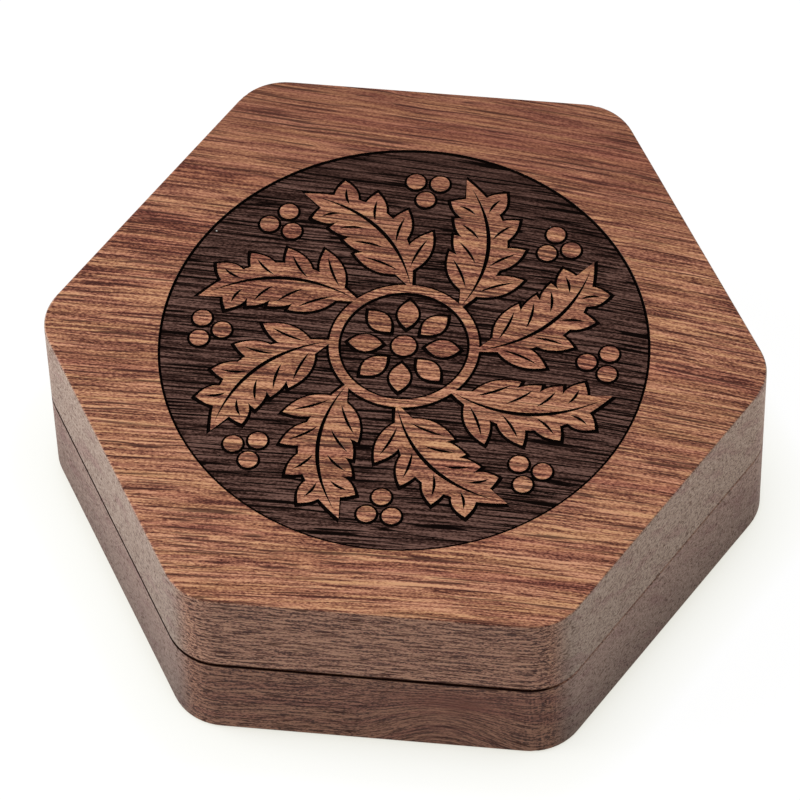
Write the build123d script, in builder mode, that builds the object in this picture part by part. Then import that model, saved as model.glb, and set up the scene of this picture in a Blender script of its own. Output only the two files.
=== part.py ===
from build123d import *
import os
from math import cos, radians, sin

# Hexagonal dice chest in millimetres: a base and a lid milled from solid wood, held shut by magnets.
# +Z is up and the box stands on z = 0, centred on the origin. One side faces -Y, two corners lie on X.

# Dice pockets: one in the middle of each half with six round it
side_count = 6
pocket_across_flats = 26.5
pocket_corner_radius = 3.2
pocket_edge_break = 0.4
cell_wall = 2.5  # wood between two pockets
rim_wall = 5.75  # wood between an outer pocket and the side it faces

# Base and lid
base_pocket_depth = 12.5
base_floor = 4.5
lid_pocket_depth = 12.5
lid_roof = 4.5
corner_radius = 8.7
top_arris = 0.35
foot_arris = 0.5
seam_arris = 0.3
seam_step_depth = 0.1  # each half steps back this much along the outer edge of its mating face
seam_step_width = 1.6

# Magnets, flush with the mating faces
magnet_diameter = 6.0
magnet_thickness = 3.0
magnet_edge_break = 0.25
magnet_clearance = 0.05  # round the magnet in its seat
magnet_rim_wall = 6.5  # wood between a magnet's seat and the two sides beside it

# Felt pads on the pocket floors
pad_thickness = 1.5
pad_clearance = 0.25

# Engraved field on the lid
field_margin = 11.3  # plain wood between the field and the middle of a side
field_depth = 0.2
line_depth = 0.35  # burnt lines round the field, round the figure and in its leaves
line_width = 0.4
point_reach = 2.0  # a line round a point goes out by this many line widths

# Whirl of oak leaves left standing in the field, round a ring with a flower in it
leaf_count = 8
figure_margin = 4.4  # bare ground outside the tips of the leaves
boss_radius = 1.8
petal_gap = 1.5
petal_length = 5.0
petal_width = 3.1
ring_gap = 1.5
ring_width = 1.4
leaf_sweep = 34.0  # degrees round the field from stalk to tip
leaf_bow = -3.4  # how far the middle of a leaf stands off its straight line
leaf_body_width = 6.6
lobe_pairs = 4
first_lobe = 0.12  # place on the leaf's middle line, from 0 at the stalk to 1 at the tip
lobe_spacing = 0.19
lobe_length = 8.6
lobe_shortening = 0.9  # from one pair of lobes to the next
lobe_width = 3.6
lobe_angle = 46.0
lobe_bow = 0.5
midrib_width = 0.65
midrib_start = 0.02
midrib_end = 0.94
vein_width = 0.45
vein_setback = 1.4
berry_count = 3  # in the cluster between two leaves
berry_radius = 1.4
berry_gap = 0.9
cluster_sweep = 10.3  # degrees round the field from a leaf's tip to the middle of a cluster
cluster_setback = 2.8  # the middle of a cluster is this much nearer the ring than a leaf's tip

# Sizes that follow
cell_pitch = pocket_across_flats + cell_wall
across_flats = 2 * cell_pitch + pocket_across_flats + 2 * rim_wall
base_height = base_floor + base_pocket_depth
lid_height = lid_roof + lid_pocket_depth
top_height = base_height + lid_height
half_side_angle = 180 / side_count  # from a corner to the middle of a side
magnet_radius = magnet_diameter / 2
magnet_seat_radius = magnet_radius + magnet_clearance
magnet_inset = magnet_rim_wall + magnet_seat_radius
magnet_circle_radius = (across_flats / 2 - magnet_inset) / cos(radians(half_side_angle))
pad_across_flats = pocket_across_flats - 2 * pad_clearance
field_radius = across_flats / 2 - field_margin
figure_radius = field_radius - figure_margin
petal_root_radius = boss_radius + petal_gap
petal_tip_radius = petal_root_radius + petal_length
ring_inner_radius = petal_tip_radius + ring_gap
ring_outer_radius = ring_inner_radius + ring_width
leaf_root_radius = ring_inner_radius + ring_width / 2
leaf_step = 360 / leaf_count
berry_step = 360 / berry_count
berry_circle_radius = (berry_radius + berry_gap / 2) / sin(radians(berry_step / 2))

# Each half is cut from its mating face into the wood, so a depth is negative along these planes
base_mating_plane = Plane.XY.offset(base_height)
lid_mating_plane = Plane(origin=(0, 0, base_height), x_dir=(1, 0, 0), z_dir=(0, 0, -1))
top_plane = Plane.XY.offset(top_height)


def hexagon(plane, flats, round_off):
    """A hexagon of the given width across its sides, with rounded corners."""
    with BuildSketch(plane) as outline:
        RegularPolygon(radius=flats / 2, side_count=side_count, major_radius=False)
        fillet(outline.vertices(), radius=round_off)
    return outline.sketch


def pocket_outlines(plane):
    """Seven hexagons like a honeycomb, one in the middle and one towards each side."""
    cell = hexagon(Plane.XY, pocket_across_flats, pocket_corner_radius)
    with BuildSketch(plane) as outlines:
        add(cell)
        with PolarLocations(cell_pitch, side_count, start_angle=half_side_angle, rotate=False):
            add(cell)
    return outlines.sketch


def magnet_outlines(plane):
    """A circle in each corner of the mating face."""
    with BuildSketch(plane) as outlines:
        with PolarLocations(magnet_circle_radius, side_count):
            Circle(magnet_seat_radius)
    return outlines.sketch


def seam_outline(plane):
    """The band along the outer edge of a mating face that is cut back a little."""
    with BuildSketch(plane) as outline:
        add(hexagon(Plane.XY, across_flats + 2 * seam_step_width, corner_radius))
        add(hexagon(Plane.XY, across_flats - 2 * seam_step_width, corner_radius), mode=Mode.SUBTRACT)
    return outline.sketch


def polar(radius, angle):
    """A point from its distance and its angle in degrees."""
    return Vector(radius * cos(radians(angle)), radius * sin(radians(angle)))


def bowed_line(root, tip, bow):
    """A curve between two points whose middle stands off the straight line by bow."""
    chord = tip - root
    across = Vector(-chord.Y, chord.X).normalized()
    return Bezier(root, root + chord * 0.5 + across * 2 * bow, tip, mode=Mode.PRIVATE)


def blade(root, tip, width, bow, grow=0.0):
    """A blade with two points along a bowed line. With grow, its outline stands further out."""
    reach = (tip - root).normalized() * grow * point_reach
    half_width = width / 2 + grow
    with BuildSketch() as outline:
        with BuildLine():
            add(bowed_line(root - reach, tip + reach, bow + half_width))
            add(bowed_line(tip + reach, root - reach, half_width - bow))
        make_face()
    return outline.sketch


leaf_line = bowed_line(polar(leaf_root_radius, 0), polar(figure_radius, leaf_sweep), leaf_bow)


def lobe_blades(setback, width, grow=0.0):
    """The side lobes of one leaf in pairs, each kept that far from both ends of its own line."""
    blades = []
    for pair in range(lobe_pairs):
        place = first_lobe + pair * lobe_spacing
        length = lobe_length - pair * lobe_shortening
        for side in (1, -1):
            heading = (leaf_line % place).rotate(Axis.Z, side * lobe_angle)
            near = leaf_line @ place + heading * setback
            far = leaf_line @ place + heading * (length - setback)
            blades.append(blade(near, far, width, -side * lobe_bow / 2, grow))
    return blades


def leaf_outline(grow):
    """One lobed leaf from the ring to its tip."""
    with BuildSketch() as outline:
        add(blade(leaf_line @ 0, leaf_line @ 1, leaf_body_width, leaf_bow, grow))
        add(lobe_blades(0, lobe_width, grow))
    return outline.sketch


def vein_outline():
    """The midrib and the side veins of one leaf."""
    with BuildSketch() as outline:
        add(blade(leaf_line @ midrib_start, leaf_line @ midrib_end, midrib_width, leaf_bow))
        add(lobe_blades(vein_setback, vein_width))
    return outline.sketch


def berry_outlines(grow):
    """The cluster of round berries past the tip of one leaf, two of them outermost."""
    cluster_angle = leaf_sweep + cluster_sweep
    with BuildSketch() as outlines:
        with Locations(polar(figure_radius - cluster_setback, cluster_angle)):
            with PolarLocations(berry_circle_radius, berry_count, cluster_angle + berry_step / 2):
                Circle(berry_radius + grow)
    return outlines.sketch


def rosette(grow):
    """The whole figure. With grow, its outline stands that much further out."""
    petal = blade(polar(petal_root_radius, 0), polar(petal_tip_radius, 0), petal_width, 0, grow)
    leaf = leaf_outline(grow)
    berries = berry_outlines(grow)
    with BuildSketch() as outline:
        Circle(ring_outer_radius + grow)
        Circle(ring_inner_radius - grow, mode=Mode.SUBTRACT)
        Circle(boss_radius + grow)
        with PolarLocations(0, leaf_count):
            add(petal)
            add(leaf)
            add(berries)
    return outline.sketch


def name_piece(part, label):
    """Label a finished piece and keep it for writing."""
    part.label = label
    pieces.append(part)


pieces = []

# Base
with BuildPart() as base_block:
    extrude(hexagon(base_mating_plane, across_flats, corner_radius), amount=-base_height)
    fillet(base_block.edges().group_by(Axis.Z)[0], radius=foot_arris)
    chamfer(base_block.edges().group_by(Axis.Z)[-1], length=seam_arris)
    extrude(seam_outline(base_mating_plane), amount=-seam_step_depth, mode=Mode.SUBTRACT)
    extrude(pocket_outlines(base_mating_plane), amount=-base_pocket_depth, mode=Mode.SUBTRACT)
    chamfer(base_block.edges(Select.LAST).group_by(Axis.Z)[-1], length=pocket_edge_break)
    extrude(magnet_outlines(base_mating_plane), amount=-magnet_thickness, mode=Mode.SUBTRACT)
name_piece(base_block.part, "base_block")

# Lid
with BuildPart() as lid_block:
    extrude(hexagon(lid_mating_plane, across_flats, corner_radius), amount=-lid_height)
    fillet(lid_block.edges().group_by(Axis.Z)[-1], radius=top_arris)
    chamfer(lid_block.edges().group_by(Axis.Z)[0], length=seam_arris)
    extrude(seam_outline(lid_mating_plane), amount=-seam_step_depth, mode=Mode.SUBTRACT)
    extrude(pocket_outlines(lid_mating_plane), amount=-lid_pocket_depth, mode=Mode.SUBTRACT)
    chamfer(lid_block.edges(Select.LAST).group_by(Axis.Z)[0], length=pocket_edge_break)
    extrude(magnet_outlines(lid_mating_plane), amount=-magnet_thickness, mode=Mode.SUBTRACT)
    # The whole field is cut to the depth of the burnt lines, and then its ground is put back
    leaf_veins = vein_outline()
    with BuildSketch(top_plane):
        Circle(field_radius)
        add(rosette(0), mode=Mode.SUBTRACT)
        with PolarLocations(0, leaf_count):
            add(leaf_veins)
    extrude(amount=-line_depth, mode=Mode.SUBTRACT, clean=False)
    with BuildSketch(top_plane.offset(-line_depth)):
        Circle(field_radius - line_width)
        add(rosette(line_width), mode=Mode.SUBTRACT)
    extrude(amount=line_depth - field_depth, clean=False)
name_piece(lid_block.part, "lid_block")

# Magnets: one in each corner of each mating face, the pairs face to face
for number in range(side_count):
    magnet_place = polar(magnet_circle_radius, number * 360 / side_count)
    for half, mating_plane in (("base", base_mating_plane), ("lid", lid_mating_plane)):
        face_centre = Vector(magnet_place.X, magnet_place.Y, base_height)
        with BuildPart() as magnet:
            with BuildSketch(Plane(origin=face_centre, z_dir=mating_plane.z_dir)):
                Circle(magnet_radius)
            extrude(amount=-magnet_thickness)
            chamfer(magnet.edges(), length=magnet_edge_break)
        name_piece(magnet.part, f"{half}_magnet_{number + 1}")

# Felt pads: one on the floor of each pocket
pad_places = {"centre": Vector(0, 0, 0)}
for number in range(side_count):
    pad_places[number + 1] = polar(cell_pitch, half_side_angle + number * 360 / side_count)
pad_planes = {
    "base": base_mating_plane.offset(-base_pocket_depth),
    "lid": lid_mating_plane.offset(-lid_pocket_depth),
}
for half, pad_plane in pad_planes.items():
    for place_name, place in pad_places.items():
        pad_centre = Vector(place.X, place.Y, pad_plane.origin.Z)
        pad_seat = Plane(origin=pad_centre, x_dir=(1, 0, 0), z_dir=pad_plane.z_dir)
        with BuildPart() as pad:
            extrude(hexagon(pad_seat, pad_across_flats, pocket_corner_radius), amount=pad_thickness)
        name_piece(pad.part, f"{half}_pad_{place_name}")

os.makedirs("parts", exist_ok=True)
for piece in pieces:
    export_step(piece, f"parts/{piece.label}.step")
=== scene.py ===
from math import cos, radians, sin, sqrt, tan

import bpy
from mathutils import Matrix, Vector


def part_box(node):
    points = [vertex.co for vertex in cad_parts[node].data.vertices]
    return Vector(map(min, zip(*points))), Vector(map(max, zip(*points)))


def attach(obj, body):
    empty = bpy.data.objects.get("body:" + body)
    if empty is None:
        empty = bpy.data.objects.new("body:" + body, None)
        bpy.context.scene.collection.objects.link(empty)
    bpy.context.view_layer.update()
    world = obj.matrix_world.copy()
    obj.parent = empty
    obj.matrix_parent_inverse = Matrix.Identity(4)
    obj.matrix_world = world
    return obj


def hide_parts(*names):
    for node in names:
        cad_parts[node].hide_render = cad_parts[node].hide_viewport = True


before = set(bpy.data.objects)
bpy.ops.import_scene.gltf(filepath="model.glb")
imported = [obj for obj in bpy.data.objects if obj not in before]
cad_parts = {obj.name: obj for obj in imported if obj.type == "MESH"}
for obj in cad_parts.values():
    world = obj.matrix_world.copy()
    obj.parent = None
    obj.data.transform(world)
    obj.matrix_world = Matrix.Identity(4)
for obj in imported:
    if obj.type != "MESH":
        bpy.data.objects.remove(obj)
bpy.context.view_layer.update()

print("frame loaded")

bpy.context.scene.view_settings.view_transform = "Standard"

millimetre = 0.001


def screenColour(red, green, blue):  # a colour as it is read off a screen, 0 to 255
    channels = []
    for value in (red, green, blue):
        value = value / 255
        channels.append(value / 12.92 if value <= 0.04045 else ((value + 0.055) / 1.055) ** 2.4)
    return (*channels, 1.0)


# Small helpers for shader nodes. A source is another node's socket or a plain value.

def plug(tree, source, socket):
    if isinstance(source, bpy.types.NodeSocket):
        tree.links.new(source, socket)
    else:
        socket.default_value = source


def addNode(tree, kind, inputs=None, **settings):
    made = tree.nodes.new(kind)
    for name, value in settings.items():
        setattr(made, name, value)
    for name, source in (inputs or {}).items():
        plug(tree, source, made.inputs[name])
    return made


def maths(tree, operation, *sources):
    made = addNode(tree, "ShaderNodeMath", operation=operation)
    for source, socket in zip(sources, made.inputs):
        plug(tree, source, socket)
    return made.outputs[0]


def chained(tree, operation, *sources):
    result = sources[0]
    for source in sources[1:]:
        result = maths(tree, operation, result, source)
    return result


def total(tree, *sources):
    return chained(tree, "ADD", *sources)


def product(tree, *sources):
    return chained(tree, "MULTIPLY", *sources)


def greatest(tree, *sources):
    return chained(tree, "MAXIMUM", *sources)


def swing(tree, value, size):  # a noise averages a half, and this one nought
    return product(tree, maths(tree, "SUBTRACT", value, 0.5), size)


def between(tree, value, low, high, toLow=0.0, toHigh=1.0):  # eases from toLow to toHigh
    return addNode(tree, "ShaderNodeMapRange", {
        "Value": value, "From Min": low, "From Max": high, "To Min": toLow, "To Max": toHigh,
    }, interpolation_type="SMOOTHSTEP").outputs[0]


def choose(tree, share, atNone, atFull):
    return between(tree, share, 0.0, 1.0, atNone, atFull)


def bell(tree, value, centre, halfWidth):  # 1 at the centre, easing to 0 at the half width
    away = maths(tree, "ABSOLUTE", maths(tree, "SUBTRACT", value, centre))
    return between(tree, away, halfWidth, 0.0)


def noise(tree, place, stretch, detail=2.0, roughness=0.5, shift=(0.0, 0.0, 0.0)):
    stretched = addNode(tree, "ShaderNodeMapping", {
        "Vector": place, "Location": shift, "Scale": stretch,
    }).outputs[0]
    return addNode(tree, "ShaderNodeTexNoise", {
        "Vector": stretched, "Scale": 1.0, "Detail": detail, "Roughness": roughness,
    }).outputs[0]


def ramp(tree, factor, stops):
    made = addNode(tree, "ShaderNodeValToRGB", {"Fac": factor})
    elements = made.color_ramp.elements
    elements.remove(elements[1])
    elements[0].position, elements[0].color = stops[0]
    for position, colour in stops[1:]:
        elements.new(position).color = colour
    return made.outputs[0]


def mixColours(tree, factor, first, second, blend="MIX"):
    made = addNode(tree, "ShaderNodeMix", data_type="RGBA", blend_type=blend)
    for source, socket in ((factor, 0), (first, 6), (second, 7)):
        plug(tree, source, made.inputs[socket])
    return made.outputs[2]


def split(tree, vector):
    return addNode(tree, "ShaderNodeSeparateXYZ", {"Vector": vector}).outputs


def joined(tree, x, y, z):
    return addNode(tree, "ShaderNodeCombineXYZ", {"X": x, "Y": y, "Z": z}).outputs[0]


def placeInMillimetres(tree):
    spot = addNode(tree, "ShaderNodeTexCoord").outputs["Object"]
    size = (1 / millimetre,) * 3
    return addNode(tree, "ShaderNodeMapping", {"Vector": spot, "Scale": size}).outputs[0]


def howOpen(tree, distance, **settings):  # 1 in the open, less where something is within the distance
    return addNode(tree, "ShaderNodeAmbientOcclusion", {"Distance": distance}, **settings).outputs["AO"]


def seenDirectly(tree):  # by the camera, in a gloss or through glass
    path = addNode(tree, "ShaderNodeLightPath").outputs
    return greatest(tree, path["Is Camera Ray"], path["Is Glossy Ray"], path["Is Transmission Ray"])


def newMaterial(name):
    material = bpy.data.materials.new(name)
    material.use_nodes = True
    tree = material.node_tree
    return material, tree, tree.nodes["Principled BSDF"]


def dress(nodes, material):
    for node in nodes:
        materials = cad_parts[node].data.materials
        materials.clear()
        materials.append(material)


def newGroup(name, takes, gives):
    group = bpy.data.node_groups.new(name, "ShaderNodeTree")
    for socket, kind in takes.items():
        group.interface.new_socket(socket, in_out="INPUT", socket_type=kind)
    for socket, kind in gives.items():
        group.interface.new_socket(socket, in_out="OUTPUT", socket_type=kind)
    return group, group.nodes.new("NodeGroupInput").outputs, group.nodes.new("NodeGroupOutput").inputs


def useGroup(tree, group, inputs):
    made = tree.nodes.new("ShaderNodeGroup")
    made.node_tree = group
    for name, source in inputs.items():
        plug(tree, source, made.inputs[name])
    return made.outputs


# Open grain: place is in millimetres, with x along the fibres, y across the growth layers
# and z within a layer. It is solid, so it runs through every face of a block. The shifts
# only keep one noise apart from the next.

grainLook = {
    "bandScale": (0.010, 0.42, 0.16),  # broad growth bands
    "bandWeight": 0.46,
    "streakScale": (0.030, 1.5, 1.1),
    "streakWeight": 0.50,
    "fibreScale": (0.065, 3.2, 3.2),  # bundles of fibres, under a millimetre apart
    "fibreWeight": 2.2,
    "gritScale": (2.0, 6.0, 6.0),  # single cut cells
    "gritWeight": 1.7,
    "poreScale": (0.065, 3.0, 3.0),  # long open vessels, seen as thin dark lines
    "poreStart": 0.58,
    "poreFull": 0.68,
    "poreRaggedness": 0.16,
}

openGrain, given, wanted = newGroup(
    "openGrain",
    {"Place": "NodeSocketVector", "Fine Place": "NodeSocketVector", "Grit Share": "NodeSocketFloat"},
    {"Tone": "NodeSocketFloat", "Bands": "NodeSocketFloat", "Vessels": "NodeSocketFloat",
     "Pores": "NodeSocketFloat", "Relief": "NodeSocketFloat"})
place, finePlace = given["Place"], given["Fine Place"]
bands = noise(openGrain, place, grainLook["bandScale"])
streaks = noise(openGrain, place, grainLook["streakScale"], shift=(40.0, 0.0, 0.0))
fibres = noise(openGrain, finePlace, grainLook["fibreScale"], detail=1.0, shift=(0.0, 70.0, 0.0))
grit = noise(openGrain, place, grainLook["gritScale"], detail=1.0, shift=(0.0, 0.0, 90.0))
vessels = noise(
    openGrain, finePlace, grainLook["poreScale"], detail=1.0, roughness=0.4, shift=(9.0, 20.0, 0.0))
vessels = total(openGrain, vessels, swing(openGrain, grit, grainLook["poreRaggedness"]))
pores = between(openGrain, vessels, grainLook["poreStart"], grainLook["poreFull"])
tone = total(
    openGrain, 0.5,
    product(openGrain, swing(openGrain, grit, grainLook["gritWeight"]), given["Grit Share"]),
    swing(openGrain, bands, grainLook["bandWeight"]),
    swing(openGrain, streaks, grainLook["streakWeight"]),
    swing(openGrain, fibres, grainLook["fibreWeight"]))
relief = maths(openGrain, "SUBTRACT", fibres, pores)
for name, source in (("Tone", tone), ("Bands", bands), ("Vessels", vessels), ("Pores", pores),
                     ("Relief", relief)):
    plug(openGrain, source, wanted[name])

# Dust: sparse pale specks, each a fraction of a millimetre across

dustLook = {
    "emptyShare": 0.82,  # of the cells that space the specks out
}

dust, given, wanted = newGroup(
    "dust", {"Place": "NodeSocketVector", "Spacing": "NodeSocketFloat", "Size": "NodeSocketFloat"},
    {"Specks": "NodeSocketFloat"})
cells = addNode(dust, "ShaderNodeTexVoronoi", {
    "Vector": given["Place"], "Scale": maths(dust, "DIVIDE", 1.0, given["Spacing"])}).outputs
drawn = split(dust, cells["Color"])[0]
held = maths(dust, "GREATER_THAN", drawn, dustLook["emptyShare"])
reach = product(dust, maths(dust, "DIVIDE", given["Size"], given["Spacing"]), drawn)
dot = maths(dust, "LESS_THAN", cells["Distance"], reach)
plug(dust, product(dust, held, dot), wanted["Specks"])

print("shared grain and dust ready")


# Wood of the two blocks

wood = {
    "faceTones": [  # of the top and the long sides, from dark streaks to pale ones
        (0.0, screenColour(68, 32, 24)), (0.26, screenColour(116, 69, 54)),
        (0.50, screenColour(155, 104, 80)), (0.74, screenColour(184, 129, 98)),
        (1.0, screenColour(212, 159, 122))],
    "endTones": [
        (0.05, screenColour(108, 88, 76)), (0.50, screenColour(146, 124, 111)),
        (0.95, screenColour(168, 149, 136))],
    "bandTint": (0.90, 0.80, 0.84, 1.0),  # the darker growth bands lean to purple
    "bandTintStart": 0.5,
    "bandTintFull": 0.3,
    "driftTints": [  # the hue of the top drifts from rosy to golden
        (0.36, (1.03, 0.98, 1.04, 1.0)), (0.64, (1.0, 1.02, 0.94, 1.0))],
    "driftScale": (0.06, 1.3, 0.9),
    "poreColour": screenColour(58, 30, 26),
    "facePores": 0.8,  # how far the pores show
    "endPores": 0.5,
    "roughness": 0.58,
    "poreRoughness": 0.85,
    "gloss": 0.15,
    "poreDepth": 0.05 * millimetre,
    "poreBump": 0.6,
    "endStart": 0.25,  # from here on, a face that looks along X shows its end grain
    "endFull": 0.8,
    "topStart": 0.8,  # from here down, a face that looks along Z is a side
    "sideFull": 0.4,
    "lean": radians(1.0),  # of the grain from the X axis, clockwise
    "fanAcross": radians(0.083),  # more for each millimetre towards the back
    "fanRight": radians(0.16),  # more for each millimetre to the right of the middle
    "layersAcross": 0.62,  # how the growth layers lie, as a unit vector in Y and Z
    "layersUp": 0.78,
    "waver": 9.0,
    "waverScale": (0.005, 0.030, 0.030),
    "wriggle": 0.9,
    "wriggleScale": (0.09, 0.4, 0.4),
    "sideShortening": 4.0,  # the fibres run out of the sides, and show shorter there
    "sideCoarseness": 1.05,
    "endCoarseness": 0.70,
    "sideGrit": 1.6,  # as many times the grit of the top
    "sideContrast": 1.42,
    "endContrast": 0.72,
    "sideTaupe": 0.30,  # how far the long sides take on the tones of the end faces
    "lineSpacing": 1.1,  # millimetres between the fine layers that show on the long sides
    "lineWeight": 0.30,
    "lineBend": 22.0,
    "lineBendScale": (0.10, 0.10, 0.18),
    "paintedBackShade": 0.0022,  # painted shade, taken off the tone for each millimetre towards the back
    "backContrast": 0.42,  # along the back of the top
    "calmStart": 5.0,  # millimetres behind the middle, where the contrast starts to fall
}
lidWood = {
    "shift": (0.0, 0.0, 0.0),  # millimetres, to another place in the tree
    "tint": (1.0, 1.0, 1.0, 1.0),
    "sideTintAndShade": (0.89, 0.855, 0.90, 1.0),  # of the long sides, a purplish tint and partly painted shade that darkens them
    # Painted light: the end faces are brighter upwards and towards the middle corners, for each
    # millimetre
    "endLightPaint": {"level": 1.04, "up": 0.012, "back": 0.0062},
    "arch": None,
}
baseWood = {
    "shift": (230.0, 57.0, 31.0),
    "tint": (0.68, 0.62, 0.63, 1.0),
    "sideTintAndShade": (0.935, 0.92, 0.93, 1.0),
    "endLightPaint": {"level": 1.01, "up": 0.030, "back": 0.0050},
    # The front of the base cuts through a knot's arched growth layers, places in millimetres
    "arch": {"crest": 10.5, "halfWidth": 14.0, "rise": 6.0, "low": 5.0, "high": 16.0,
             "front": -47.0, "depth": 14.0, "spacing": 1.25, "evening": 0.55,
             "lineStrength": 0.75, "lineStart": 0.20, "lineFull": 0.04,
             "stray": 2.0, "strayScale": (0.12, 0.3, 0.5),
             "brokenScale": (0.45, 0.5, 1.2), "brokenStart": 0.35, "brokenFull": 0.6},
    "calm": {"x": 13.0, "halfWidth": 13.0, "z": 11.5, "halfHeight": 5.0, "tone": 0.40,
             "strength": 0.8, "tint": (1.0, 0.90, 0.88, 1.0)},
    "hatch": {"x": 24.5, "halfWidth": 5.5, "scale": (3.2, 0.6, 0.45), "strength": 1.9},
}


def archMask(tree, x, y, z, arch):
    across = bell(tree, x, arch["crest"], arch["halfWidth"])
    nearFront = bell(tree, y, arch["front"], arch["depth"])
    return product(tree, across, nearFront, between(tree, z, arch["high"], arch["low"]))


def growthPlace(tree, spot, block, upright, endOn):
    x, y, z = split(tree, spot)
    slope = total(
        tree, tan(wood["lean"]),
        product(tree, y, tan(wood["fanAcross"])),
        product(tree, greatest(tree, x, 0.0), tan(wood["fanRight"]) / 2))
    across = total(tree, y, product(tree, x, slope))
    height = z
    if block["arch"]:
        lift = product(tree, archMask(tree, x, y, z, block["arch"]), block["arch"]["rise"])
        height = maths(tree, "SUBTRACT", z, lift)
    shifted = addNode(tree, "ShaderNodeMapping", {
        "Vector": joined(tree, x, across, height), "Location": block["shift"]}).outputs[0]
    waver = noise(tree, shifted, wood["waverScale"], detail=1.0)
    wriggle = noise(tree, shifted, wood["wriggleScale"], detail=1.0, shift=(0.0, 50.0, 0.0))
    alongX, acrossY, upZ = split(tree, shifted)
    layer = total(
        tree, swing(tree, waver, wood["waver"]), swing(tree, wriggle, wood["wriggle"]),
        product(tree, acrossY, wood["layersAcross"]), product(tree, upZ, wood["layersUp"]))
    within = maths(
        tree, "SUBTRACT",
        product(tree, upZ, wood["layersAcross"]), product(tree, acrossY, wood["layersUp"]))
    place = joined(tree, alongX, layer, within)
    onSide = maths(tree, "GREATER_THAN", upright, 0.5)
    onEnd = maths(tree, "GREATER_THAN", endOn, 0.5)
    shortening = choose(tree, onSide, 1.0, wood["sideShortening"])
    coarseness = choose(tree, onEnd, wood["sideCoarseness"], wood["endCoarseness"])
    coarseness = choose(tree, onSide, 1.0, coarseness)
    finePlace = joined(
        tree, product(tree, alongX, shortening), product(tree, layer, coarseness),
        product(tree, within, coarseness))
    return place, finePlace, height


def archedLines(tree, spot, height, block, tone):  # the marks that the knot leaves on the front
    x, y, z = split(tree, spot)
    arch, calm, hatch = block["arch"], block["calm"], block["hatch"]
    nearFront = bell(tree, y, arch["front"], arch["depth"])
    mask = archMask(tree, x, y, z, arch)

    stray = product(tree, noise(tree, spot, arch["strayScale"]), arch["stray"])
    turn = total(tree, maths(tree, "DIVIDE", height, arch["spacing"]), stray)
    offLine = maths(tree, "ABSOLUTE", maths(tree, "SUBTRACT", maths(tree, "FRACT", turn), 0.5))
    broken = noise(tree, spot, arch["brokenScale"], shift=(0.0, 20.0, 0.0))
    lineTone = product(
        tree, between(tree, offLine, arch["lineStart"], arch["lineFull"]),
        between(tree, broken, arch["brokenStart"], arch["brokenFull"]), mask, arch["lineStrength"])

    quiet = product(
        tree, bell(tree, x, calm["x"], calm["halfWidth"]),
        bell(tree, z, calm["z"], calm["halfHeight"]), nearFront, calm["strength"])
    crossing = noise(tree, spot, hatch["scale"], detail=1.0, shift=(12.0, 0.0, 0.0))
    crossed = product(tree, bell(tree, x, hatch["x"], hatch["halfWidth"]), nearFront)
    tone = total(tree, tone, product(tree, swing(tree, crossing, hatch["strength"]), crossed))
    still = greatest(tree, quiet, product(tree, mask, arch["evening"]))
    evened = addNode(tree, "ShaderNodeMix", {0: still, 2: tone, 3: calm["tone"]}).outputs[0]
    return total(tree, evened, lineTone), quiet


# Painted shade: the dark line between the halves, on their outer arrises

seam = {
    "colour": screenColour(26, 13, 10),
    "rim": 2.1,  # millimetres in from the sides, past the rounded corners
    "reach": 0.60,  # millimetres up and down from the joint, for the shading
    "edge": 0.48,  # the same, for the painted shade on the edges, which shows also with the lid lifted
    "edgeStrength": 0.78,
    "softness": 0.08,
    "raggedness": 0.12,
    "raggedScale": (1.6, 1.6, 0.5),
    "rightStrength": 0.12,  # the halves meet more tightly on the right, so the painted shade is weaker there
    "rightStart": 0.15,
    "rightFull": 0.6,
    "shadedWithin": 1.5 * millimetre,  # how near the other half must be to shade the line
    "shadeStart": 0.99,
    "shadeFull": 0.88,
    "slopeStart": 0.2,  # how far an arris must lean from upright to be shaded
    "slopeFull": 0.4,
    "flatStart": 0.98,  # the mating faces themselves stay clean
    "flatFull": 0.92,
}


def paintSeamShade(tree, spot, facing):
    x, y, z = split(tree, spot)
    low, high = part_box("lid_block")
    reached = []
    for angle in (radians(30), radians(90), radians(150)):  # across each pair of sides
        along = total(tree, product(tree, x, cos(angle)), product(tree, y, sin(angle)))
        reached.append(maths(tree, "ABSOLUTE", along))
    outward = greatest(tree, *reached)
    atRim = maths(tree, "GREATER_THAN", outward, high.y / millimetre - seam["rim"])

    ragged = product(tree, noise(tree, spot, seam["raggedScale"]), seam["raggedness"])
    away = maths(tree, "ABSOLUTE", maths(tree, "SUBTRACT", z, low.z / millimetre))
    away = total(tree, away, ragged)
    near = between(tree, away, seam["reach"] + seam["softness"], seam["reach"])
    edge = between(
        tree, away, seam["edge"] + seam["softness"], seam["edge"], 0.0, seam["edgeStrength"])

    slope = maths(tree, "ABSOLUTE", facing[2])
    openness = howOpen(tree, seam["shadedWithin"], samples=8)
    shut = between(tree, openness, seam["shadeStart"], seam["shadeFull"])  # goes with the lid
    leaning = between(tree, slope, seam["slopeStart"], seam["slopeFull"])
    line = greatest(tree, product(tree, near, shut, leaning), edge)
    offFlat = between(tree, slope, seam["flatStart"], seam["flatFull"])
    tight = between(
        tree, facing[0], seam["rightStart"], seam["rightFull"], 1.0, seam["rightStrength"])
    return product(tree, line, offFlat, atRim, tight)


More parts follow.
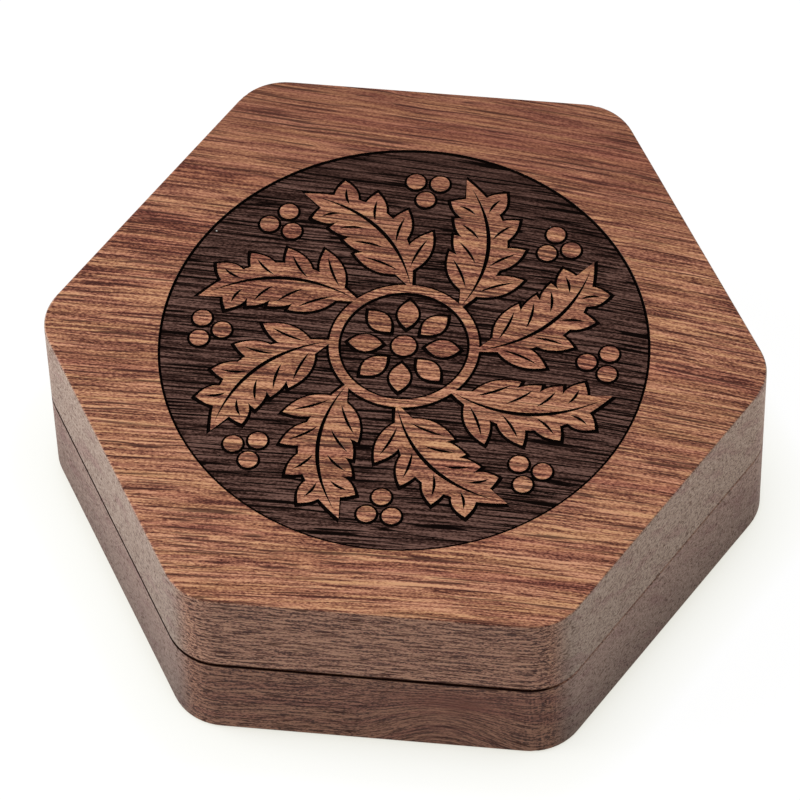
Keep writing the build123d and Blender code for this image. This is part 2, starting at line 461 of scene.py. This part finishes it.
def woodMaterial(name, node, block):
    material, tree, shader = newMaterial(name)
    spot = placeInMillimetres(tree)
    x, y, z = split(tree, spot)
    low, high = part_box(node)
    facing = split(tree, addNode(tree, "ShaderNodeTexCoord").outputs["Normal"])
    endOn = between(tree, maths(tree, "ABSOLUTE", facing[0]), wood["endStart"], wood["endFull"])
    upright = between(tree, maths(tree, "ABSOLUTE", facing[2]), wood["topStart"], wood["sideFull"])
    onLongSides = product(tree, upright, maths(tree, "SUBTRACT", 1.0, endOn))
    place, finePlace, height = growthPlace(tree, spot, block, upright, endOn)
    grain = useGroup(tree, openGrain, {
        "Place": place, "Fine Place": finePlace,
        "Grit Share": choose(tree, upright, 1.0, wood["sideGrit"])})

    onSides = choose(tree, endOn, wood["sideContrast"], wood["endContrast"])
    onTop = between(tree, y, wood["calmStart"], high.y / millimetre, 1.0, wood["backContrast"])
    tone = total(tree, swing(tree, grain["Tone"], choose(tree, upright, onTop, onSides)), 0.5)
    # painted shade: the tone darkens towards the back
    tone = maths(tree, "SUBTRACT", tone, product(tree, y, wood["paintedBackShade"]))
    bent = product(tree, noise(tree, spot, wood["lineBendScale"]), wood["lineBend"])
    turn = total(tree, product(tree, height, radians(360) / wood["lineSpacing"]), bent)
    lines = product(tree, maths(tree, "SINE", turn), wood["lineWeight"], onLongSides)
    tone = total(tree, tone, lines)
    if block["arch"]:
        tone, quiet = archedLines(tree, spot, height, block, tone)

    taupe = greatest(tree, endOn, product(tree, upright, wood["sideTaupe"]))
    colour = mixColours(
        tree, taupe, ramp(tree, tone, wood["faceTones"]), ramp(tree, tone, wood["endTones"]))
    purple = between(tree, grain["Bands"], wood["bandTintStart"], wood["bandTintFull"])
    colour = mixColours(tree, purple, colour, wood["bandTint"], "MULTIPLY")
    drift = noise(tree, place, wood["driftScale"], shift=(0.0, 0.0, 25.0))
    onFlat = maths(tree, "SUBTRACT", 1.0, upright)
    colour = mixColours(tree, onFlat, colour, ramp(tree, drift, wood["driftTints"]), "MULTIPLY")
    pores = product(tree, grain["Pores"], choose(tree, endOn, wood["facePores"], wood["endPores"]))
    if block["arch"]:
        colour = mixColours(tree, quiet, colour, block["calm"]["tint"], "MULTIPLY")
        pores = product(tree, pores, maths(tree, "SUBTRACT", 1.0, quiet))
    colour = mixColours(tree, pores, colour, wood["poreColour"])
    colour = mixColours(tree, 1.0, colour, block["tint"], "MULTIPLY")
    # tint and painted shade of the long sides
    colour = mixColours(tree, onLongSides, colour, block["sideTintAndShade"], "MULTIPLY")

    # painted light on the end faces, brighter upwards and towards the middle corners
    raised = maths(tree, "SUBTRACT", z, (low.z + high.z) / 2 / millimetre)
    further = maths(tree, "SUBTRACT", maths(tree, "MINIMUM", y, 0.0), low.y / 2 / millimetre)
    endLightPaint = total(
        tree, block["endLightPaint"]["level"], product(tree, raised, block["endLightPaint"]["up"]),
        product(tree, further, block["endLightPaint"]["back"]))
    colour = mixColours(tree, endOn, colour, joined(tree, endLightPaint, endLightPaint, endLightPaint), "MULTIPLY")
    # painted shade along the seam, laid over the wood's colour
    seamShade = paintSeamShade(tree, spot, facing)
    colour = mixColours(tree, seamShade, colour, seam["colour"])

    plug(tree, colour, shader.inputs["Base Color"])
    worn = choose(tree, grain["Pores"], wood["roughness"], wood["poreRoughness"])
    plug(tree, worn, shader.inputs["Roughness"])
    gloss = choose(tree, seamShade, wood["gloss"], 0.0)
    plug(tree, gloss, shader.inputs["Specular IOR Level"])
    bump = addNode(tree, "ShaderNodeBump", {
        "Height": grain["Relief"], "Strength": wood["poreBump"], "Distance": wood["poreDepth"]})
    plug(tree, bump.outputs[0], shader.inputs["Normal"])
    return material, (tree, shader, spot, facing, grain, tone, colour, worn, gloss)


# Burnt engraving on the lid: a field sunk below the top face, with deeper lines in it

engraving = {
    "radius": 37.0,  # millimetres, just past the field's edge
    "reach": 2.0,  # millimetres below the top face, under which nothing is burnt
    "start": 0.02,
    "full": 0.10,
    "lineStart": 0.23,
    "lineFull": 0.27,
    "wallStart": 0.7,  # the walls of the cuts are as black as the lines
    "wallFull": 0.3,
    "black": screenColour(10, 4, 3),
    "tones": [
        (0.10, screenColour(30, 16, 13)), (0.50, screenColour(74, 51, 45)),
        (0.90, screenColour(116, 86, 77))],
    "poreStart": 0.54,  # the burnt pores are wider than the bare ones
    "poreFull": 0.60,
    "addedRoughness": 0.4,
    "lostGloss": 0.8,
    "dustColour": screenColour(190, 186, 180),
    "dustSpacing": 5.0,  # millimetres
    "dustSize": 0.14,
}


def burnEngraving(tree, shader, spot, facing, grain, tone, colour, worn, gloss):
    x, y, z = split(tree, spot)
    depth = maths(tree, "SUBTRACT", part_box("lid_block")[1].z / millimetre, z)
    outward = addNode(
        tree, "ShaderNodeVectorMath", {0: joined(tree, x, y, 0.0)}, operation="LENGTH").outputs["Value"]
    sunk = product(
        tree, maths(tree, "LESS_THAN", outward, engraving["radius"]),
        maths(tree, "LESS_THAN", depth, engraving["reach"]),
        between(tree, depth, engraving["start"], engraving["full"]))
    line = greatest(
        tree, between(tree, facing[2], engraving["wallStart"], engraving["wallFull"]),
        between(tree, depth, engraving["lineStart"], engraving["lineFull"]))

    bands = swing(tree, grain["Bands"], grainLook["bandWeight"])
    ground = ramp(tree, maths(tree, "SUBTRACT", tone, bands), engraving["tones"])
    burntPores = between(tree, grain["Vessels"], engraving["poreStart"], engraving["poreFull"])
    ground = mixColours(tree, burntPores, ground, engraving["black"])
    specks = useGroup(tree, dust, {
        "Place": spot, "Spacing": engraving["dustSpacing"], "Size": engraving["dustSize"]})["Specks"]
    ground = mixColours(tree, specks, ground, engraving["dustColour"])
    burnt = mixColours(tree, line, ground, engraving["black"])

    plug(tree, mixColours(tree, sunk, colour, burnt), shader.inputs["Base Color"])
    rougher = total(tree, worn, product(tree, sunk, engraving["addedRoughness"]))
    plug(tree, rougher, shader.inputs["Roughness"])
    kept = maths(tree, "SUBTRACT", 1.0, product(tree, sunk, engraving["lostGloss"]))
    plug(tree, product(tree, gloss, kept), shader.inputs["Specular IOR Level"])


lidMaterial, lidParts = woodMaterial("oiledLidWood", "lid_block", lidWood)
burnEngraving(*lidParts)
dress(["lid_block"], lidMaterial)
dress(["base_block"], woodMaterial("oiledBaseWood", "base_block", baseWood)[0])
print("wood ready")


# Magnets: nickel plating with fine rubbed marks

plating = {
    "colour": screenColour(214, 210, 202),
    "rubbed": screenColour(198, 193, 185),
    "rubbedStart": 0.4,
    "roughness": (0.20, 0.27),
    "roughStart": 0.3,
    "full": 0.7,
    "markScale": (1.2, 1.2, 1.2),
}

magnetMaterial, tree, shader = newMaterial("nickelPlating")
marks = noise(tree, placeInMillimetres(tree), plating["markScale"], detail=4.0, roughness=0.6)
rubbed = between(tree, marks, plating["rubbedStart"], plating["full"])
plug(tree, mixColours(tree, rubbed, plating["colour"], plating["rubbed"]), shader.inputs["Base Color"])
rough = between(tree, marks, plating["roughStart"], plating["full"], *plating["roughness"])
plug(tree, rough, shader.inputs["Roughness"])
shader.inputs["Metallic"].default_value = 1.0

magnetNodes = [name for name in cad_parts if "_magnet_" in name]
dress(magnetNodes, magnetMaterial)
print(len(magnetNodes), "magnets plated")


# Felt pads of the dice pockets

felt = {
    "colour": screenColour(30, 29, 31),
    "lightFibre": screenColour(62, 60, 64),
    "lint": screenColour(120, 118, 120),
    "lintSpacing": 2.6,  # millimetres
    "lintSize": 0.10,
    "mattedScale": (1.1, 1.1, 1.1),
    "hairScale": (1.2, 9.0, 5.0),
    "crossHairScale": (8.0, 1.4, 5.0),
    "fuzzStart": 0.85,
    "fuzzFull": 1.35,
    "gloss": 0.1,
    "sheen": 0.25,
    "sheenRoughness": 0.6,
    "hairDepth": 0.12 * millimetre,
    "hairBump": 0.7,
    "cornerRadius": 3.2 * millimetre,
    "softEdge": 0.45 * millimetre,
    "rings": 5,
    "unevenness": 0.16 * millimetre,
    "unevenScale": 7.0 * millimetre,
}

feltMaterial, tree, shader = newMaterial("pressedFelt")
spot = placeInMillimetres(tree)
matted = noise(tree, spot, felt["mattedScale"], detail=4.0, roughness=0.65)
hairs = greatest(
    tree, noise(tree, spot, felt["hairScale"], detail=3.0, roughness=0.6),
    noise(tree, spot, felt["crossHairScale"], detail=3.0, roughness=0.6, shift=(0.0, 33.0, 0.0)))
fuzz = between(tree, total(tree, matted, hairs), felt["fuzzStart"], felt["fuzzFull"])
colour = mixColours(tree, fuzz, felt["colour"], felt["lightFibre"])
specks = useGroup(tree, dust, {
    "Place": spot, "Spacing": felt["lintSpacing"], "Size": felt["lintSize"]})["Specks"]
plug(tree, mixColours(tree, specks, colour, felt["lint"]), shader.inputs["Base Color"])
shader.inputs["Roughness"].default_value = 1.0
shader.inputs["Specular IOR Level"].default_value = felt["gloss"]
shader.inputs["Sheen Weight"].default_value = felt["sheen"]
shader.inputs["Sheen Roughness"].default_value = felt["sheenRoughness"]
bump = addNode(tree, "ShaderNodeBump", {
    "Height": hairs, "Strength": felt["hairBump"], "Distance": felt["hairDepth"]})
plug(tree, bump.outputs[0], shader.inputs["Normal"])


def chooseFaces(shape, wanted):
    bpy.ops.mesh.select_mode(type="FACE")
    bpy.ops.mesh.select_all(action="DESELECT")
    bpy.ops.object.mode_set(mode="OBJECT")
    for face in shape.data.polygons:
        face.select = wanted(face)
    bpy.ops.object.mode_set(mode="EDIT")


def chooseEdges(shape, wanted):
    bpy.ops.mesh.select_mode(type="EDGE")
    bpy.ops.mesh.select_all(action="DESELECT")
    bpy.ops.object.mode_set(mode="OBJECT")
    corners = shape.data.vertices
    for edge in shape.data.edges:
        edge.select = wanted(corners[edge.vertices[0]].co, corners[edge.vertices[1]].co)
    bpy.ops.object.mode_set(mode="EDIT")


def modelPad():  # one pad, centred on the origin, its nap upwards
    low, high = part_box("base_pad_centre")
    flats, height = high.y - low.y, high.z - low.z
    bpy.ops.object.select_all(action="DESELECT")
    bpy.ops.mesh.primitive_cylinder_add(
        vertices=6, radius=flats / sqrt(3), depth=height, rotation=(0, 0, radians(30)))
    pad = bpy.context.object
    bpy.ops.object.transform_apply(rotation=True)
    bpy.ops.object.mode_set(mode="EDIT")
    chooseEdges(pad, lambda a, b: abs(a.z - b.z) > height / 2)
    bpy.ops.mesh.bevel(offset=felt["cornerRadius"] * tan(radians(30)), segments=8)
    chooseEdges(pad, lambda a, b: a.z > 0 and b.z > 0)
    bpy.ops.mesh.bevel(offset=felt["softEdge"], segments=4)
    chooseFaces(pad, lambda face: face.normal.z > 0.99)
    for ring in range(felt["rings"], 0, -1):  # rings of faces on the top, each smaller
        smaller = ring / (ring + 1)
        bpy.ops.mesh.extrude_region_move()
        bpy.ops.transform.resize(value=(smaller, smaller, 1), center_override=(0, 0, 0))
    bpy.ops.mesh.poke()
    bpy.ops.object.mode_set(mode="OBJECT")

    nap = [corner.index for corner in pad.data.vertices if corner.co.z > height / 2 * 0.98]
    raised = pad.vertex_groups.new(name="nap")
    raised.add(nap, 1, "ADD")
    lumps = bpy.data.textures.new("feltLumps", "CLOUDS")
    lumps.noise_scale = felt["unevenScale"]
    press = pad.modifiers.new("press", "DISPLACE")
    press.texture, press.vertex_group, press.direction = lumps, raised.name, "Z"
    press.strength, press.mid_level = felt["unevenness"], 1.0
    bpy.ops.object.modifier_apply(modifier=press.name)
    bpy.ops.object.shade_smooth_by_angle(angle=radians(50))
    pad.data.materials.append(feltMaterial)
    return pad


def layPad(model, node, turns):
    low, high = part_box(node)
    body = node.split("_")[0]
    pad = model.copy()
    pad.data = model.data.copy()
    pad.name = node.replace("pad", "felt")
    bpy.context.scene.collection.objects.link(pad)
    pad.data.transform(Matrix.Rotation(radians(60 * turns), 4, "Z"))
    if body == "lid":  # the lid's pads hang nap down from its pockets' roofs
        pad.data.transform(Matrix.Rotation(radians(180), 4, "X"))
    pad.data.transform(Matrix.Translation((low + high) / 2))
    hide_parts(node)
    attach(pad, body)


padModel = modelPad()
padNodes = sorted(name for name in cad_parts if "_pad_" in name)
for turns, name in enumerate(padNodes):
    layPad(padModel, name, turns)
bpy.data.objects.remove(padModel)
print(len(padNodes), "felt pads laid")


# Camera

camera = {
    "location": (0.06868, -0.51802, 0.76250),
    "turn": (35.124, 0.989, 6.238),  # degrees
    "lens": 271.05,
    "sensor": 36.0,
    "nearest": 0.05,
}
bpy.ops.object.camera_add(
    location=camera["location"], rotation=[radians(angle) for angle in camera["turn"]])
viewer = bpy.context.object
viewer.data.lens = camera["lens"]
viewer.data.sensor_width = camera["sensor"]
viewer.data.clip_start = camera["nearest"]
bpy.context.scene.camera = viewer


# Light: a large softbox on the left, a weaker lamp on the right and a white surround

softbox = {
    "distance": 1.15,
    "elevation": radians(38.0),
    "size": 0.9,
    "level": 13.5,  # watts
    "colour": (1.0, 1.0, 1.0),
}
fill = {
    "location": (0.75, 0.30, 0.16),
    "size": 0.5,
    "level": 3.3,
    "colour": (1.0, 0.96, 0.88),
}
studio = {
    "surround": 0.30,  # as the wood is lit by it
    "backdrop": 1.0,  # as it is seen
}


def addLamp(name, location, look):  # a round lamp that faces the origin
    bpy.ops.object.light_add(type="AREA", location=location)
    lamp = bpy.context.object
    lamp.name = name
    lamp.data.shape = "DISK"
    lamp.data.size = look["size"]
    lamp.data.energy = look["level"]
    lamp.data.color = look["colour"]
    lamp.rotation_euler = location.to_track_quat("Z", "Y").to_euler()


leftward = Vector((-cos(softbox["elevation"]), 0.0, sin(softbox["elevation"])))
addLamp("softbox", leftward * softbox["distance"], softbox)
addLamp("fillLight", Vector(fill["location"]), fill)

world = bpy.data.worlds.new("studio")
bpy.context.scene.world = world
world.use_nodes = True
tree = world.node_tree
backdrop = tree.nodes["Background"]
backdrop.inputs["Color"].default_value = (1.0, 1.0, 1.0, 1.0)
strength = choose(tree, seenDirectly(tree), studio["surround"], studio["backdrop"])
plug(tree, strength, backdrop.inputs["Strength"])
print("camera and light ready")


# Floor: white paper that keeps a thin shadow, with a painted shadow round the foot, and is clear from
# below

floor = {
    "width": 6.0,
    "drop": 0.02 * millimetre,
    "colour": (0.8, 0.8, 0.79, 1.0),
    "roughness": 0.9,
    "nearby": 10.0 * millimetre,  # painted shadow: the paper is darkened within this distance of the foot
    "paperShare": (0.80, 0.92),  # how far the shadow is thinned out, at the foot and away from it
    "footOpenness": 0.5,
    "shadowedPaper": [  # painted shadow, from right beside the foot to open paper
        (0.48, (0.90, 0.89, 0.81, 1.0)), (0.55, (1.00, 0.995, 0.935, 1.0)),
        (0.68, (1.032, 1.032, 0.985, 1.0)), (0.93, (1.035, 1.035, 1.01, 1.0)),
        (1.00, (1.06, 1.06, 1.06, 1.0))],
}
bpy.ops.object.select_all(action="DESELECT")
bpy.ops.mesh.primitive_plane_add(size=floor["width"], location=(0, 0, -floor["drop"]))
floorSheet = bpy.context.object
floorSheet.name = "floor"
bpy.ops.object.transform_apply(location=True)


def mixShaders(tree, share, first, second):
    made = addNode(tree, "ShaderNodeMixShader", {"Fac": share})
    tree.links.new(first.outputs[0], made.inputs[1])
    tree.links.new(second.outputs[0], made.inputs[2])
    return made


floorMaterial, tree, shader = newMaterial("paleFloor")
shader.inputs["Base Color"].default_value = floor["colour"]
shader.inputs["Roughness"].default_value = floor["roughness"]
shader.inputs["Specular IOR Level"].default_value = 0.0
openness = howOpen(tree, floor["nearby"])
# the paper as seen, with a painted shadow near the foot
shadowedPaper = addNode(tree, "ShaderNodeEmission", {"Color": ramp(tree, openness, floor["shadowedPaper"])})
share = between(tree, openness, floor["footOpenness"], 1.0, *floor["paperShare"])
lit = mixShaders(tree, product(tree, seenDirectly(tree), share), shader, shadowedPaper)
fromBelow = addNode(tree, "ShaderNodeNewGeometry").outputs["Backfacing"]
oneSided = mixShaders(tree, fromBelow, lit, addNode(tree, "ShaderNodeBsdfTransparent"))
tree.links.new(oneSided.outputs[0], tree.nodes["Material Output"].inputs["Surface"])
floorSheet.data.materials.append(floorMaterial)
print("floor ready")
